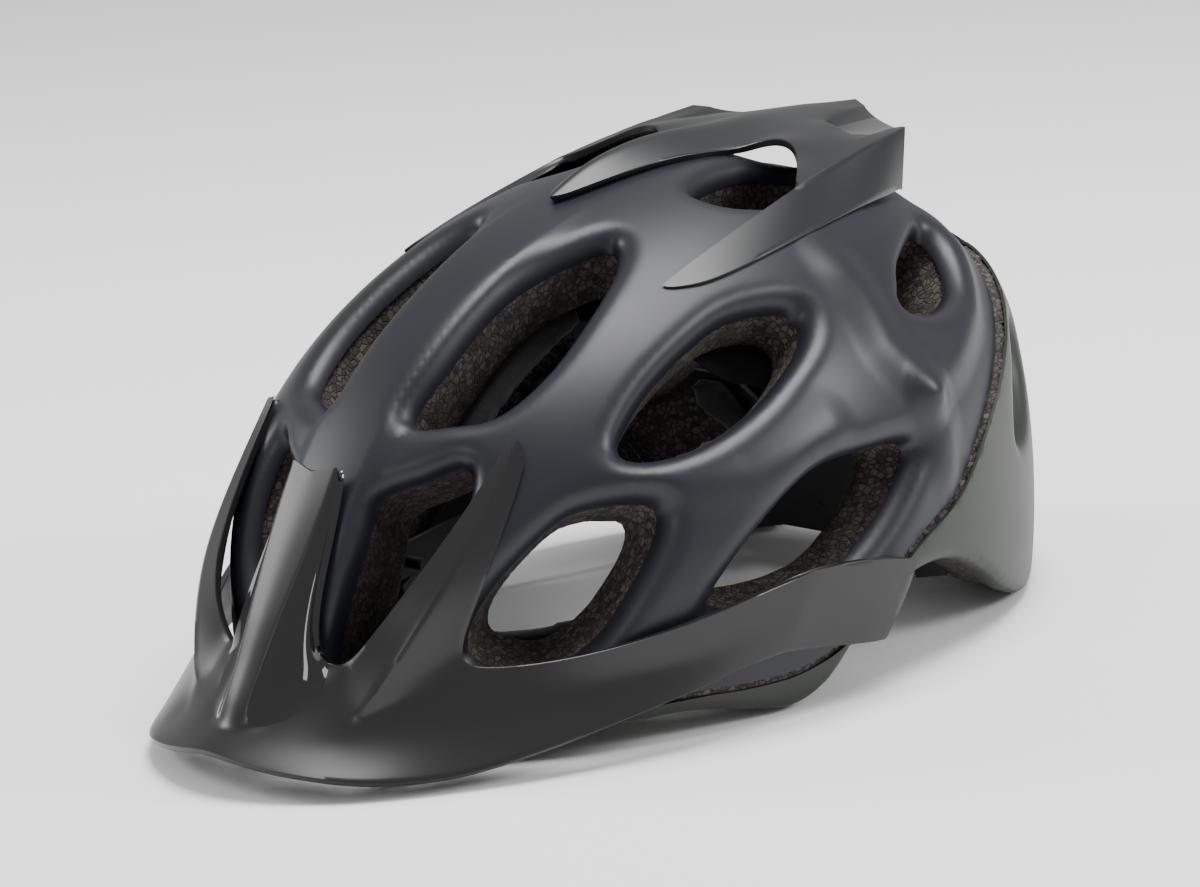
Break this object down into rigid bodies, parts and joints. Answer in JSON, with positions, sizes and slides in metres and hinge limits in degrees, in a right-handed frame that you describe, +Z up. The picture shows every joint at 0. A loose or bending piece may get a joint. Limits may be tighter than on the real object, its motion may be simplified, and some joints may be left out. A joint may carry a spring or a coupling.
{
  "type": "cycling helmet",
  "caption": "Mountain-bike helmet with vented two-part shell over a foam liner, snap-in visor, rear wing, dial fit system and buckled chin straps stowed inside.",
  "frame": {"origin": "middle of the bounding box in plan, at the level of the table the helmet stands on", "axes": "-Y is the wearer's front, where the visor points; +X is the wearer's left; +Z up. The helmet stands on the foam rim in front of the ears and on the two nape lobes."},
  "size_m": [0.2188, 0.3374, 0.1571],
  "materials": {
    "outer_shell": "satin in-moulded polycarbonate film, dark slate grey",
    "lower_shell": "matte in-moulded polycarbonate film, grey-green with tonal graphics",
    "foam_liner": "black expanded polystyrene, fused beads, moulded skin",
    "rear_wing": "satin injection-moulded ABS, warm dark grey",
    "visor": "satin injection-moulded ABS, warm dark grey, gloss black scoops",
    "visor_sockets": "black moulded nylon",
    "pads": "brushed polyester over open-cell foam, black",
    "pad_dots": "hook tape, black",
    "webbing": "woven polyester webbing, black",
    "fittings": "moulded acetal, black, fine grain",
    "fit_plastic": "moulded nylon, black satin",
    "keeper": "moulded silicone rubber",
    "screws": "blackened steel, rolled thread"
  },
  "bodies": {
    "helmet": {"outer_shell": "outer_shell", "lower_shell": "lower_shell", "foam_liner": "foam_liner", "rear_wing": "rear_wing", "visor_sockets": "visor_sockets", "brow_pad": "pads", "crown_pad_front": "pads", "crown_pad_rear": "pads", "side_pad_left": "pads", "side_pad_right": "pads", "pad_dots": "pad_dots", "front_strap_left": "webbing", "front_strap_right": "webbing", "rear_strap_left": "webbing", "rear_strap_right": "webbing", "chin_strap_left": "webbing", "chin_strap_right": "webbing", "strap_anchors": "fittings", "divider_left": "fittings", "divider_right": "fittings", "buckle_female": "fittings", "strap_keeper": "keeper", "belt_anchors": "fit_plastic", "hanger_anchor": "fit_plastic"},
    "visor": {"visor": "visor"},
    "buckle_male": {"buckle_male": "fittings"},
    "cradle": {"cradle": "fit_plastic", "dial_cover": "fit_plastic", "cover_screws": "screws", "nape_pad_left": "pads", "nape_pad_right": "pads"},
    "dial": {"dial": "fit_plastic", "pinion": "fit_plastic", "dial_screw": "screws"},
    "belt_left": {"belt_left": "fit_plastic"},
    "belt_right": {"belt_right": "fit_plastic"},
    "lever_left": {"lever_left": "fittings"},
    "lever_right": {"lever_right": "fittings"}
  },
  "joints": [
    {"name": "visor_pull", "type": "slide", "parent": "helmet", "child": "visor", "axis": [0, -1, 0], "range_m": [0, 0.17]},
    {"name": "buckle_release", "type": "slide", "parent": "helmet", "child": "buckle_male", "axis": [-1, 0, 0], "range_m": [0, 0.014], "deforming": ["chin_strap_right"]},
    {"name": "cradle_swing", "type": "hinge", "parent": "helmet", "child": "cradle", "pos_m": [0, -0.02621, 0.02538], "axis": [1, 0, 0], "range_deg": [-1.5, 3]},
    {"name": "dial_turn", "type": "hinge", "parent": "cradle", "child": "dial", "pos_m": [0, 0.11882, 0.02326], "axis": [0, -0.9755, -0.2201], "range_deg": [0, 92]},
    {"name": "belt_left_slide", "type": "slide", "parent": "cradle", "child": "belt_left", "axis": [-1, 0, 0], "range_m": [0, 0.008]},
    {"name": "belt_right_slide", "type": "slide", "parent": "cradle", "child": "belt_right", "axis": [1, 0, 0], "range_m": [0, 0.008]},
    {"name": "lever_left_turn", "type": "hinge", "parent": "helmet", "child": "lever_left", "pos_m": [0.06211, 0.06139, 0.05233], "axis": [0.3221, -0.9235, -0.2084], "range_deg": [0, 75]},
    {"name": "lever_right_turn", "type": "hinge", "parent": "helmet", "child": "lever_right", "pos_m": [-0.06211, 0.06139, 0.05233], "axis": [0.3221, 0.9235, 0.2084], "range_deg": [0, 75]}
  ],
  "couplings": [
    {"joint": "belt_left_slide", "follows": "dial_turn", "m_per_rad": 0.0048},
    {"joint": "belt_right_slide", "follows": "dial_turn", "m_per_rad": 0.0048}
  ]
}
